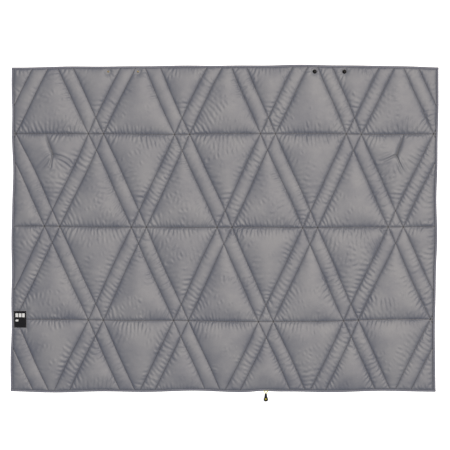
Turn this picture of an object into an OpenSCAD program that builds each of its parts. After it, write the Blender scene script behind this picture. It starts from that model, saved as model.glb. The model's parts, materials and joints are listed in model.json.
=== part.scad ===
// Quilted camp blanket laid out flat, with press snaps along its top edge, a sewn
// label, and a hang loop with a moulded cord end at its bottom edge.
// It folds in half about its middle quilting seam.
// X runs along the width, +Y towards the edge with the snaps, +Z up from the ground.

/* [Blanket] */
// Width of the blanket
blanket_w = 1800; // [1400:10:2200]
// Length of the blanket, from the bottom edge to the top edge
blanket_l = 1380; // [1200:10:1600]

/* [Quilting] */
// Distance between two horizontal quilting seams
row_pitch = 393; // [340:1:430]
// Distance of the middle quilting seam from the blanket's centre
middle_seam_offset = 9; // [-20:1:20]
// Distance along a horizontal seam between two crossings of the slanted seams
crossing_pitch = 366; // [300:2:420]
// Distance along a horizontal seam between the two lines of a slanted pair
pair_gap = 64; // [40:1:80]
// Width of the pinched groove along a seam
groove_w = 12; // [8:1:16]
// Width of a line of quilting thread
thread_w = 1.2; // [0.8:0.1:2]

/* [Loft] */
// Height of the quilt where a seam pinches it
seam_t = 5; // [4:0.1:7]
// Height of the narrow channels between the two lines of a pair
channel_t = 15; // [10:0.5:18]
// Height of the big triangular panels
panel_t = 22; // [18:0.5:30]
// Thickness of the shell fabric
fabric_t = 0.8; // [0.6:0.1:1]

/* [Edge binding] */
// Width of the tape that wraps the edge
binding_w = 10; // [8:0.5:14]

/* [Snaps] */
// Distance of the inner snaps from the centre line
snap_inner_x = 375; // [300:5:420]
// Distance of the outer snaps from the centre line
snap_outer_x = 501; // [460:5:600]
// Distance of the snaps from the top edge
snap_inset = 23; // [22:1:40]
// Radius of a snap cap
cap_r = 8.5; // [7:0.1:9]
// Radius of the round head of a snap stud
stud_r = 2.75; // [2.5:0.05:3]
// Radial clearance of a stud in its socket
snap_clearance = 0.05; // [0.02:0.01:0.08]

/* [Tufts] */
// Distance of the two tufts from the centre line
tuft_x = 732; // [600:2:760]
// Distance of the two tufts below the upper seam
tuft_drop = 90; // [60:2:120]

/* [Label] */
// Width of the label
label_w = 50; // [30:1:60]
// Length of the label
label_l = 70; // [40:1:80]

/* [Hang loop] */
// Distance of the hang loop from the centre line
loop_x = 168; // [0:2:400]
// Distance between the two strands of the cord where they leave the hem
strand_spread = 16; // [12:1:20]
// Diameter of the cord
cord_d = 2.8; // [2:0.1:3]
// Length of the cord from the hem to the mouth of the cord end
cord_reach = 8; // [7:0.5:12]
// Length of the moulded cord end
cord_end_l = 33; // [30:1:40]
// Radius of the bell of the cord end
bell_r = 9; // [8:0.5:10]

/* [Hidden] */
$fn = 64;

// Hang loop: its bell rests on the ground, so the cord end slopes up from its mouth
loop_gap = 1.1;
mouth_gap = 2.1;
hem_z = seam_t / 2;
neck_r = 4.2;
neck_l = 16;
mouth_z = neck_r + 0.3;
tip_r = bell_r - 3;
tilt = asin((bell_r - mouth_z) / (neck_l + 11));
knot_l = neck_l + 8.5;
tail_r = 2.9;
window_r = 4.6;
// The hang loop stands out past the bottom edge, so the blanket's own centre lies
// half that far above the middle of the whole object's box.
reach = loop_gap + cord_reach + cord_end_l * cos(tilt) + tip_r * sin(tilt);
centre_y = reach / 2;
top_y = centre_y + blanket_l / 2;
bottom_y = centre_y - blanket_l / 2;
middle_y = centre_y + middle_seam_offset;
row_ys = [middle_y - row_pitch, middle_y, middle_y + row_pitch];
// Half of the gap between the two halves' solids along the fold
fold_gap = 0.3;
// Slope of the slanted seams: one crossing pitch sideways in two rows
seam_angle = atan2(2 * row_pitch, crossing_pitch);
seam_l = (blanket_l + blanket_w) / sin(seam_angle);
pair_count = ceil(blanket_w / crossing_pitch / 2) + 3;
thread_h = 0.5;
tape_t = 0.8;
// Height of the underside of the top shell at a seam, and at the bound edge
shell_z = seam_t - fabric_t;
edge_z = seam_t - tape_t - fabric_t;
inner_w = blanket_w - 2 * binding_w;
snap_y = top_y - snap_inset;
stem_r = 1.5;
stem_hole_r = stem_r + 0.1;
seat_r = 6.8;
seat_z = 3.2;
socket_r = 5.6;
socket_h = 2.6;
socket_floor = 0.6;
post_r = 6;
post_h = 0.8;
stud_flange_r = 4.5;
stud_h = 3.4;
snap_clear_r = 13;
tuft_y = row_ys[2] - tuft_drop;
tuft_well_r = 12;
tuft_w = 9;
label_x = -inner_w / 2 + 1;
label_y = row_ys[0];
label_t = 0.9;
stitch_inset = 1.6;
hem_y = bottom_y - loop_gap;
mouth_y = hem_y - cord_reach;

fabric = [0.55, 0.54, 0.53];
batt = [0.92, 0.92, 0.9];
dark_grey = [0.33, 0.33, 0.37];
black = [0.06, 0.06, 0.065];
bronze = [0.25, 0.22, 0.16];
yellow = [0.8, 0.74, 0.2];

// A rectangle on the ground, given by its lowest and highest corners
module patch(low, high) {
    translate(low)
        square(high - low);
}

// The upper half, or the lower half, of the area inside the binding, grown by a margin
module half_area(upper, margin) {
    side = inner_w / 2 + margin;
    if (upper)
        patch([-side, middle_y + fold_gap], [side, top_y - binding_w + margin]);
    else
        patch([-side, bottom_y + binding_w - margin], [side, middle_y - fold_gap]);
}

// One family of slanted lines: the pairs that rise to the right, or with a lean of -1
// those that fall. A line's offset moves it off the middle of its pair.
module slanted_lines(lean, width, offsets) {
    for (i = [-pair_count : pair_count])
        for (offset_x = offsets)
            translate([i * crossing_pitch + offset_x, middle_y])
                rotate(lean * seam_angle)
                    square([seam_l, width], center = true);
}

// The horizontal seams
module row_lines(width) {
    for (y = row_ys)
        translate([0, y])
            square([blanket_w, width], center = true);
}

pair_offsets = [-pair_gap / 2, pair_gap / 2];

module seam_lines(width) {
    row_lines(width);
    slanted_lines(1, width, pair_offsets);
    slanted_lines(-1, width, pair_offsets);
}

// Places that stay flat: round each snap, at each tuft and under the label
module flat_spots(upper, shrink) {
    if (upper) {
        for (x = [-snap_outer_x, -snap_inner_x, snap_inner_x, snap_outer_x])
            translate([x, snap_y])
                circle(r = snap_clear_r - shrink);
        for (x = [-tuft_x, tuft_x])
            translate([x, tuft_y])
                circle(r = tuft_well_r - shrink);
    } else
        translate([label_x + label_w / 2, label_y])
            square([label_w + 6 - 2 * shrink, label_l + 6 - 2 * shrink], center = true);
}

// The puffed cells of one half, each drawn back from its seams, less a skin of fabric
module cells(upper, skin) {
    difference() {
        half_area(upper, -6 - skin);
        seam_lines(groove_w + 2 * skin);
        flat_spots(upper, -skin);
    }
}

// Only the big triangles, without the narrow channels between the lines of a pair
module big_cells(upper, skin) {
    band = pair_gap * sin(seam_angle) + groove_w + 2 * skin;
    difference() {
        cells(upper, skin);
        slanted_lines(1, band, [0]);
        slanted_lines(-1, band, [0]);
    }
}

// The quilt's body up to the fabric of the top shell: skin = fabric_t gives the batt,
// and skin = 0 the outside of the top shell
module puffs(upper, skin) {
    translate([0, 0, shell_z - fabric_t]) {
        linear_extrude(channel_t - shell_z + fabric_t - skin)
            cells(upper, skin);
        linear_extrude(panel_t - shell_z + fabric_t - skin)
            big_cells(upper, skin);
    }
}

// Holes through which the snap stems pass
module stem_holes() {
    for (x = [-snap_outer_x, -snap_inner_x, snap_inner_x, snap_outer_x])
        translate([x, snap_y, -1])
            cylinder(r = stem_hole_r, h = panel_t);
}

// The round recess in the underside that takes the lower part of a snap
module snap_recesses(r, top) {
    for (x = [-snap_outer_x, -snap_inner_x, snap_inner_x, snap_outer_x])
        translate([x, snap_y, -1])
            cylinder(r = r, h = top + 1);
}

// Top shell: the outer fabric, a thin skin over the puffs, with its edge held in the binding
module top_shell(upper) {
    color(fabric)
    difference() {
        union() {
            translate([0, 0, shell_z])
                linear_extrude(fabric_t)
                    half_area(upper, -0.2);
            translate([0, 0, edge_z])
                linear_extrude(fabric_t)
                    difference() {
                        half_area(upper, binding_w - tape_t - 0.5);
                        half_area(upper, -1);
                    }
            puffs(upper, 0);
        }
        puffs(upper, fabric_t);
        translate([0, 0, shell_z - 2 * fabric_t])
            linear_extrude(2 * fabric_t)
                half_area(upper, -1);
        if (upper)
            stem_holes();
    }
}

// Insulation: the sheet of batt, pinched flat at the seams and thin inside the binding
module insulation(upper) {
    color(batt)
    difference() {
        union() {
            translate([0, 0, fabric_t])
                linear_extrude(shell_z - fabric_t)
                    half_area(upper, -1);
            translate([0, 0, 2 * fabric_t])
                linear_extrude(edge_z - 2 * fabric_t)
                    half_area(upper, binding_w - tape_t - 1);
            puffs(upper, fabric_t);
        }
        if (upper) {
            stem_holes();
            snap_recesses(seat_r + fabric_t, seat_z + fabric_t);
        }
    }
}

// Bottom shell: the fabric on the ground, raised into the binding at its edge, with
// a cup over each snap's lower part
module bottom_shell(upper) {
    color(dark_grey)
    difference() {
        union() {
            linear_extrude(fabric_t)
                half_area(upper, -0.2);
            translate([0, 0, fabric_t])
                linear_extrude(fabric_t)
                    difference() {
                        half_area(upper, binding_w - tape_t - 0.5);
                        half_area(upper, -1);
                    }
            if (upper)
                for (x = [-snap_outer_x, -snap_inner_x, snap_inner_x, snap_outer_x])
                    translate([x, snap_y, 0])
                        cylinder(r = seat_r + fabric_t, h = seat_z + fabric_t);
        }
        if (upper) {
            stem_holes();
            snap_recesses(seat_r, seat_z);
        }
    }
}

// Quilting thread: raised lines of stitching in the grooves, cut where lines cross
module thread(upper) {
    translate([0, 0, seam_t])
        linear_extrude(thread_h)
            intersection() {
                half_area(upper, 0);
                children();
            }
}

module row_stitching(upper) {
    color(dark_grey)
    thread(upper)
        if (upper)
            patch([-inner_w / 2, row_ys[2] - thread_w / 2], [inner_w / 2, row_ys[2] + thread_w / 2]);
        else {
            difference() {
                patch([-inner_w / 2, row_ys[0] - thread_w / 2],
                      [inner_w / 2, row_ys[0] + thread_w / 2]);
                flat_spots(upper, 2.5);
            }
            patch([-inner_w / 2, middle_y - fold_gap - thread_w], [inner_w / 2, middle_y - fold_gap]);
        }
}

module rising_stitching(upper) {
    color(dark_grey)
    thread(upper)
        difference() {
            slanted_lines(1, thread_w, pair_offsets);
            row_lines(2 * thread_w + 1);
            flat_spots(upper, 2.5);
        }
}

module falling_stitching(upper) {
    color(dark_grey)
    thread(upper)
        difference() {
            slanted_lines(-1, thread_w, pair_offsets);
            slanted_lines(1, thread_w + 0.6, pair_offsets);
            row_lines(2 * thread_w + 1);
            flat_spots(upper, 2.5);
        }
}

// A length of binding tape folded over the edge: its outline is the tape's own width by
// the pinched quilt's height, open towards the quilt. It runs along X, edge at y = 0.
module binding_tape(length) {
    translate([-length / 2, 0, 0])
        rotate([90, 0, 90])
            linear_extrude(length)
                difference() {
                    square([binding_w, seam_t]);
                    translate([tape_t, tape_t])
                        square([binding_w, seam_t - 2 * tape_t]);
                }
}

// A length of tape along a side edge, from one place to another
module side_tape(side, low_y, high_y) {
    color(dark_grey)
    translate([side * blanket_w / 2, (low_y + high_y) / 2, 0])
        rotate(side * 90)
            binding_tape(high_y - low_y);
}

module binding_top() {
    color(dark_grey)
    translate([0, top_y, 0])
        rotate(180)
            binding_tape(blanket_w);
}

module binding_bottom() {
    color(dark_grey)
    translate([0, bottom_y, 0])
        binding_tape(blanket_w);
}

// Binding stitching: one line of thread along the tape's inner edge
module binding_stitching(upper) {
    side = blanket_w / 2 - binding_w + stitch_inset;
    end_edge = upper ? top_y - binding_w + stitch_inset : bottom_y + binding_w - stitch_inset;
    color(black)
    translate([0, 0, seam_t])
        linear_extrude(thread_h)
            intersection() {
                half_area(upper, binding_w);
                difference() {
                    patch([-side - thread_w, -abs(end_edge) - thread_w],
                          [side + thread_w, abs(end_edge) + thread_w]);
                    patch([-side, upper ? -blanket_l : end_edge],
                          [side, upper ? end_edge : blanket_l]);
                }
            }
}

// Snap cap: a low dome on top with a stem that passes through the quilt into the socket
module snap_cap(x) {
    stem_l = seam_t - seat_z + socket_floor;
    color(black)
    translate([x, snap_y, seam_t])
        rotate_extrude()
            polygon([[0, -stem_l], [stem_r, -stem_l], [stem_r, 0], [cap_r, 0],
                     [cap_r, 0.7], [cap_r - 1.2, 1.4], [cap_r - 4, 1.9], [0, 2]]);
}

// Snap socket: the ring under the cap, open downwards, that grips a stud
module snap_socket(x) {
    color(black)
    translate([x, snap_y, seat_z - socket_h])
        difference() {
            cylinder(r = socket_r, h = socket_h);
            translate([0, 0, -1])
                cylinder(r = stud_r + snap_clearance, h = socket_h - socket_floor + 1);
            translate([0, 0, -1])
                cylinder(r = stem_hole_r, h = socket_h + 2);
        }
}

// Snap stud: a flange with the round head that clicks into a socket
module snap_stud(x) {
    color(bronze)
    translate([x, snap_y, seam_t])
        difference() {
            union() {
                cylinder(r = stud_flange_r, h = 0.9);
                cylinder(r = stud_r - 0.5, h = stud_h - 1.2);
                translate([0, 0, stud_h - 1.8])
                    cylinder(r = stud_r, h = 1.8);
            }
            translate([0, 0, -1])
                cylinder(r = stem_hole_r, h = 1.7);
        }
}

// Snap post: the flat disc under the stud, whose stem holds the stud through the quilt
module snap_post(x) {
    color(bronze)
    translate([x, snap_y, seat_z - post_h]) {
        cylinder(r = post_r, h = post_h);
        cylinder(r = stem_r, h = seam_t - seat_z + post_h + 0.6);
    }
}

// Tuft: a short bar of stitches that pulls a puffed panel down to the seam's height
module tuft(side) {
    color(dark_grey)
    translate([side * tuft_x, tuft_y, seam_t])
        rotate(side * 70)
            linear_extrude(thread_h)
                square([tuft_w, 2], center = true);
}

module label() {
    color(black)
    translate([label_x, label_y - label_l / 2, seam_t])
        cube([label_w, label_l, label_t]);
}

// Label stitching: a line of thread just inside the label's border
module label_stitching() {
    color(dark_grey)
    translate([label_x + label_w / 2, label_y, seam_t + label_t])
        linear_extrude(thread_h)
            difference() {
                square([label_w - 4, label_l - 4], center = true);
                square([label_w - 5.6, label_l - 5.6], center = true);
            }
}

// Bar tack across the hem, which holds the two ends of the hang loop
module loop_bartack() {
    color(yellow)
    translate([loop_x - strand_spread / 2 - 3, bottom_y + 2, seam_t])
        cube([strand_spread + 6, 2, thread_h]);
}

// A straight round strand from one point to another
module strand(from, to, r) {
    run = to - from;
    translate(from)
        rotate([0, acos(run.z / norm(run)), atan2(run.y, run.x)])
            cylinder(r = r, h = norm(run));
}

// Hang cord: two strands that leave the hem apart and run together into the cord end
module hang_cord() {
    r = cord_d / 2;
    color(yellow)
    for (side = [-1, 1])
        strand([loop_x + side * strand_spread / 2, hem_y - 2 * r, hem_z],
               [loop_x + side * (r + 0.1), mouth_y + mouth_gap, mouth_z], r);
}

// Places its children with the cord end's mouth at their origin and its length along +Z
module along_cord_end() {
    translate([loop_x, mouth_y, mouth_z])
        rotate([90 - tilt, 0, 0])
            children();
}

// Cord end: a moulded bell with a waisted neck and a round window over the knot
module cord_end() {
    color(black)
    along_cord_end()
        difference() {
            rotate_extrude()
                polygon([[0, 0], [neck_r, 0], [neck_r - 0.6, 3], [neck_r, 10],
                         [neck_r + 1.6, neck_l], [bell_r - 0.8, neck_l + 4],
                         [bell_r, neck_l + 8], [bell_r, neck_l + 11],
                         [bell_r - 1, cord_end_l - 3], [tip_r, cord_end_l],
                         [0, cord_end_l]]);
            translate([0, 0, -1])
                cylinder(r = tail_r + 0.2, h = knot_l + 1);
            translate([0, 0, knot_l])
                sphere(r = window_r);
            translate([0, 0, knot_l])
                rotate([-90, 0, 0])
                    cylinder(r = window_r, h = bell_r + 2);
        }
}

// Cord knot: the cord's joined ends, which fill the neck and end in a knot in the bell
module cord_knot() {
    color(yellow)
    along_cord_end() {
        translate([0, 0, 1])
            cylinder(r = tail_r, h = knot_l - 1);
        translate([0, 0, knot_l])
            sphere(r = window_r - 0.3);
    }
}

top_shell(true);  // top_shell_upper
insulation(true);  // insulation_upper
bottom_shell(true);  // bottom_shell_upper
row_stitching(true);  // row_stitching_upper
rising_stitching(true);  // rising_stitching_upper
falling_stitching(true);  // falling_stitching_upper
binding_top();
side_tape(-1, middle_y + fold_gap, top_y - binding_w);  // binding_left_upper
side_tape(1, middle_y + fold_gap, top_y - binding_w);  // binding_right_upper
binding_stitching(true);  // binding_stitching_upper
snap_cap(snap_inner_x);  // snap_cap_inner
snap_cap(snap_outer_x);  // snap_cap_outer
snap_socket(snap_inner_x);  // snap_socket_inner
snap_socket(snap_outer_x);  // snap_socket_outer
snap_stud(-snap_inner_x);  // snap_stud_inner
snap_stud(-snap_outer_x);  // snap_stud_outer
snap_post(-snap_inner_x);  // snap_post_inner
snap_post(-snap_outer_x);  // snap_post_outer
tuft(-1);  // tuft_left
tuft(1);  // tuft_right
top_shell(false);  // top_shell_lower
insulation(false);  // insulation_lower
bottom_shell(false);  // bottom_shell_lower
row_stitching(false);  // row_stitching_lower
rising_stitching(false);  // rising_stitching_lower
falling_stitching(false);  // falling_stitching_lower
binding_bottom();
side_tape(-1, bottom_y + binding_w, middle_y - fold_gap);  // binding_left_lower
side_tape(1, bottom_y + binding_w, middle_y - fold_gap);  // binding_right_lower
binding_stitching(false);  // binding_stitching_lower
label();
label_stitching();
loop_bartack();
hang_cord();
cord_end();
cord_knot();
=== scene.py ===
"""A quilted camp blanket laid out flat: shells, batting, stitching, binding, snaps, label and hang loop."""
import json
import math

import bmesh
import bpy
import numpy as np
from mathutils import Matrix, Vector


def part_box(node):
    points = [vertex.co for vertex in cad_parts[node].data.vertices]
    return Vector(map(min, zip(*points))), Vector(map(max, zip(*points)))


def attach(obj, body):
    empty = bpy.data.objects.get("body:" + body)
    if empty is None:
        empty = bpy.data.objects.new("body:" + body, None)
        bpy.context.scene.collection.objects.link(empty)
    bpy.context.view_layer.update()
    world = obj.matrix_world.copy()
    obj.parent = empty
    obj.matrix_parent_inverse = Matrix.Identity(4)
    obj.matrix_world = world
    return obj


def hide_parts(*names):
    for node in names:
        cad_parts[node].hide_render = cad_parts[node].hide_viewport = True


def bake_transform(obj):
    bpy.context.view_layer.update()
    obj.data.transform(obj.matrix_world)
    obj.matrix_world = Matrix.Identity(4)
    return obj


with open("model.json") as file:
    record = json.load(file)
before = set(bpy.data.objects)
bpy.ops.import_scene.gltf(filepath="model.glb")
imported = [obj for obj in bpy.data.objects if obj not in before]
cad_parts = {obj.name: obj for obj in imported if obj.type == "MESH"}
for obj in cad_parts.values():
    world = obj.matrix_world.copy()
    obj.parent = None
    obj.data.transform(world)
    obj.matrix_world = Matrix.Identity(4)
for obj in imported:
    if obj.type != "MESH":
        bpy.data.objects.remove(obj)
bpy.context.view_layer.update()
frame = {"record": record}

MM = 0.001
FLOAT = np.float32
UPPER, LOWER = "upper_half", "lower_half"

# ---------------------------------------------------------------- measures from the frame

JOINTS = {j["name"]: j for j in frame["record"]["behaviour"]["joints"]}


def middle(node):
    low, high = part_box(node)
    return (Vector(low) + Vector(high)) / 2


low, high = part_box("binding_top")
HALF_W = high[0]
TOP_Y = high[1]
BIND_W = high[1] - low[1]
EDGE_T = high[2]
BOTTOM_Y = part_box("binding_bottom")[0][1]
MIDDLE_Y = JOINTS["half_fold"]["pos_m"][1]
ROW_PITCH = middle("row_stitching_upper").y - MIDDLE_Y
CENTRE_Y = (TOP_Y + BOTTOM_Y) / 2
LENGTH = TOP_Y - BOTTOM_Y
WIDTH = 2 * HALF_W
LOFT_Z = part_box("top_shell_upper")[1][2]

# Quilting: the slanted seams come in pairs, which cross every CROSSING_PITCH along a row
CROSSING_PITCH = 366 * MM
FINE, COARSE = 114, 57                    # lattice steps in one crossing pitch
PAIR_SHARE = 10 / 57                      # share of it between the two lines of a pair
PAIR_GAP = PAIR_SHARE * CROSSING_PITCH

# Heights of the sewn seams: lifted off the ground inside, level with the tape at the edge
SEAM_Z = 6.2 * MM
EDGE_SEAM_Z = 4.4 * MM
PINCH = 0.8 * MM                          # thickness of the quilt at a seam
EDGE_BLEND = 70 * MM


def smooth(t):
    t = np.clip(t, 0, 1)
    return t * t * (3 - 2 * t)


def edge_distance(x, y):
    """How far a point of the squared-up sheet is inside its edge."""
    return np.minimum(HALF_W - np.abs(x), LENGTH / 2 - np.abs(y - CENTRE_Y))


def row_distance(y):
    """How far it is from the nearest of the three horizontal seams."""
    return np.abs(y - (MIDDLE_Y + ROW_PITCH * np.clip(np.round((y - MIDDLE_Y) / ROW_PITCH), -1, 1)))


def seam_distance(x, y):
    """How far it is from the nearest seam or from the binding."""
    nearest = row_distance(y)
    tilt = math.atan2(2 * ROW_PITCH, CROSSING_PITCH)
    for lean in (-1, 1):
        for side in (-1, 1):
            place = x - lean * (y - MIDDLE_Y) / math.tan(tilt) + side * PAIR_GAP / 2
            off = np.abs(place - CROSSING_PITCH * np.round(place / CROSSING_PITCH))
            nearest = np.minimum(nearest, off * math.sin(tilt))
    return np.minimum(nearest, np.maximum(edge_distance(x, y) - BIND_W, 0))


# ---------------------------------------------------------------- the laid-out shape


def hill(place, centre, width):
    """A smooth hill of height 1."""
    return np.exp(-((place - centre) / width) ** 2)


def warp(x, y):
    """Where a point of the squared-up sheet lies: the blanket isn't laid quite square, and its seams wander.

    u and v run from -1 to 1 across the sheet and up it, and shifts are in metres. What belongs to one edge
    dies away towards the middle.
    """
    u, v = x / HALF_W, (y - CENTRE_Y) / (LENGTH / 2)
    down = (1 - v) / 2
    left, right, bottom, top = (np.clip(side, 0, 1) ** 5 for side in (-u, u, -v, v))
    left_edge = -0.009 - 0.005 * down + 0.004 * hill(v, 0.22, 0.28) + 0.0008 * np.sin(19 * v + 0.6)
    right_edge = 0.001 - 0.0145 * down - 0.002 * hill(v, -0.5, 0.3) + 0.0007 * np.sin(17 * v + 2.0)
    rise = 0.0066 * smooth((u + 0.58) / 0.3) - 0.0065 * smooth((u - 0.7) / 0.3)
    top_edge = rise - 0.0028 - 0.0025 * smooth((-u - 0.85) / 0.15) + 0.0007 * np.sin(23 * u)
    bottom_edge = 0.0012 + 0.0016 * np.sin(14.5 * u + 0.4)
    lift_at_loop = bottom * 0.0045 * hill(x, middle("hang_cord").x, 0.05)
    # Inside, the slanted seams drift left towards the lower right, and the lower rows sag
    skew = (0.0036 + 0.024 * down) * smooth((1 - v) / 0.12)
    sag = np.exp(-((u - 0.12) / 0.5) ** 2 - ((v + 0.45) / 0.5) ** 2) * smooth((v + 1) / 0.35)
    dx = left * left_edge - skew * np.clip((u + 1) / 2, 0, 1) ** 0.8
    dx = dx + right * right_edge + np.clip(u, 0, 1) ** 12 * skew
    dx = dx + 0.0016 * np.sin(7.3 * v + 2.1 * u + 0.5) + 0.0009 * np.sin(13.1 * v - 4.0 * u)
    dy = top * top_edge - bottom * bottom_edge + lift_at_loop - 0.011 * sag
    dy = dy + 0.0017 * np.sin(6.1 * u - 1.7 * v + 1.1) + 0.0008 * np.sin(12.7 * u + 3.1 * v)
    return x + dx, y + dy


def seam_height(x, y):
    """Height of the top shell where a seam holds it down."""
    return EDGE_SEAM_Z + (SEAM_Z - EDGE_SEAM_Z) * smooth((edge_distance(x, y) - BIND_W) / EDGE_BLEND)


class Lattice:
    """Rows of points, every second one set half a step aside, so that slanted seams run along mesh edges."""

    def __init__(self, cells):
        self.cells = cells
        self.pair_steps = round(cells * PAIR_SHARE)
        self.step = CROSSING_PITCH / cells
        row_step = ROW_PITCH / cells
        below = MIDDLE_Y - ROW_PITCH - BOTTOM_Y
        above = TOP_Y - MIDDLE_Y - ROW_PITCH
        n_below, n_above = round(below / row_step), round(above / row_step)
        spans = [
            BOTTOM_Y + below * np.arange(n_below) / n_below,
            MIDDLE_Y - ROW_PITCH + ROW_PITCH * np.arange(2 * cells) / cells,
            MIDDLE_Y + ROW_PITCH + above * np.arange(n_above + 1) / n_above,
        ]
        self.rows_y = np.concatenate(spans)
        self.row = np.arange(len(self.rows_y)) - n_below - cells
        self.odd = self.row % 2
        self.half_cols = round(HALF_W / self.step)
        cols = np.arange(2 * self.half_cols + 1) - self.half_cols
        self.half_steps = 2 * cols[None, :] + self.odd[:, None]
        self.x = np.clip(self.half_steps * self.step / 2, -HALF_W, HALF_W)
        self.y = np.repeat(self.rows_y[:, None], len(cols), 1)
        self.shape = self.x.shape

    def on_lines(self, lean):
        """The points on the slanted seams that rise to the right, or with a lean of -1 fall."""
        place = np.mod(self.half_steps - lean * self.row[:, None] + self.pair_steps, 2 * self.cells)
        return (place == 0) | (place == 2 * self.pair_steps)

    def on_rows(self):
        row = np.repeat(self.row[:, None], self.shape[1], 1)
        return (row % self.cells == 0) & (abs(row) <= self.cells)

    def nearest(self, x, y):
        """The indices of the points nearest to some places."""
        rows = np.clip(np.searchsorted(self.rows_y, y), 0, len(self.rows_y) - 1)
        cols = np.round(x / self.step - self.odd[rows] / 2).astype(int) + self.half_cols
        return rows, np.clip(cols, 0, self.shape[1] - 1)

    def triangles(self):
        rows, cols = self.shape
        index = np.arange(rows * cols).reshape(rows, cols)
        a, b = index[:-1, :-1], index[:-1, 1:]
        c, d = index[1:, :-1], index[1:, 1:]
        odd = (self.odd[:-1] == 1)[:, None]
        first = np.stack([a, b, np.where(odd, d, c)], -1)
        second = np.stack([np.where(odd, a, b), d, c], -1)
        return np.concatenate([first.reshape(-1, 3), second.reshape(-1, 3)])


# ---------------------------------------------------------------- the cloth solver


def away(lattice, point):
    return np.hypot(lattice.x - point[0], lattice.y - point[1])


def pull_on_to_crease(lattice, tuft):
    """Moves the points beside the short crease from a tuft up to the seam above it on to that line."""
    run = math.copysign(29 * MM, tuft.x)
    t = (lattice.y - tuft.y) / (MIDDLE_Y + ROW_PITCH - tuft.y)
    line_x = tuft.x + t * run
    crease = (t > 0) & (t < 1) & (np.abs(lattice.x - line_x) < lattice.step * 0.5)
    lattice.x = np.where(crease, line_x, lattice.x)
    return crease


SNAPS = ["snap_cap_inner", "snap_cap_outer", "snap_stud_inner", "snap_stud_outer"]
TUFTS = ["tuft_left", "tuft_right"]


def creased_points(lattice):
    """The points on seams, next to the binding, and on the creases from the tufts."""
    # in the shells these points are also painted dark, as the shade in the seams' grooves
    creased = lattice.on_rows() | lattice.on_lines(1) | lattice.on_lines(-1)
    creased |= edge_distance(lattice.x, lattice.y) < BIND_W
    for name in TUFTS:
        creased |= pull_on_to_crease(lattice, middle(name)) | (away(lattice, middle(name)) < 3 * MM)
    return creased


def held_points(lattice, creased):
    """The points that don't move: the creased ones, and those round snaps and under the label."""
    held = creased.copy()
    for name in SNAPS:
        held |= away(lattice, middle(name)) < 12.5 * MM
    low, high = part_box("label")
    reach = 3.5 * MM
    held |= (lattice.x < high[0] + reach) & (lattice.y > low[1] - reach) & (lattice.y < high[1] + reach)
    return held


def noise_field(rng, scale, shape):
    """Smooth random numbers, with bumps about scale lattice steps across."""
    coarse = rng.normal(size=(int(shape[0] / scale) + 3, int(shape[1] / scale) + 3))
    ys, xs = np.arange(shape[0]) / scale, np.arange(shape[1]) / scale
    iy, ix = ys.astype(int), xs.astype(int)
    fy, fx = smooth(ys - iy)[:, None], smooth(xs - ix)[None, :]
    low = coarse[iy][:, ix] * (1 - fx) + coarse[iy][:, ix + 1] * fx
    high = coarse[iy + 1][:, ix] * (1 - fx) + coarse[iy + 1][:, ix + 1] * fx
    return low * (1 - fy) + high * fy


def rounded_off(height, creased):
    """The heights with their ridges smoothed away, and no change where the sheet is creased."""
    for _ in range(70):
        padded = np.pad(height, 1, mode="edge")
        around = padded[:-2, 1:-1] + padded[2:, 1:-1] + padded[1:-1, :-2] + padded[1:-1, 2:]
        height = np.where(creased, height, (height + around) / 5)
    return height


def at(index):
    return (slice(None),) + index


BASE_SLACK = 0.009                        # how much longer than the ground the top shell is everywhere
UNDER_SLACK = 0.02
PATCHY_SLACK = 0.009                      # by how much that varies from place to place
GATHER = 0.10                             # how much longer it is right at a seam
ROW_SHARE, ANY_SHARE = 0.5, 0.3           # the part of it at horizontal seams, and at seams of any kind
UNEVEN = 0.5                              # how uneven both are along a seam
GROOVE = 1.6 * MM                         # the cloth beside a seam stays at least this far off it
GATHER_REACH = 9 * MM
TUFT_REACH = 30 * MM
CUT = 1.04                                # how much larger the shells are cut than the ground they cover
TOP_LOFT = LOFT_Z - SEAM_Z - 2 * MM
UNDER_LOFT = 7 * MM
SEAM_LOFT, ADDED_LOFT = 0.18, 0.82        # shares of the loft that the cloth seeks at a seam and away from it
LOFT_REACH = 45 * MM
RIPPLE = 1.2                              # millimetres of unevenness that the cloth starts with
PAINTED_SHADE_REACH = 11 * MM                    # how far from a seam the painted shade reaches that dims and cools the cloth


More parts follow.
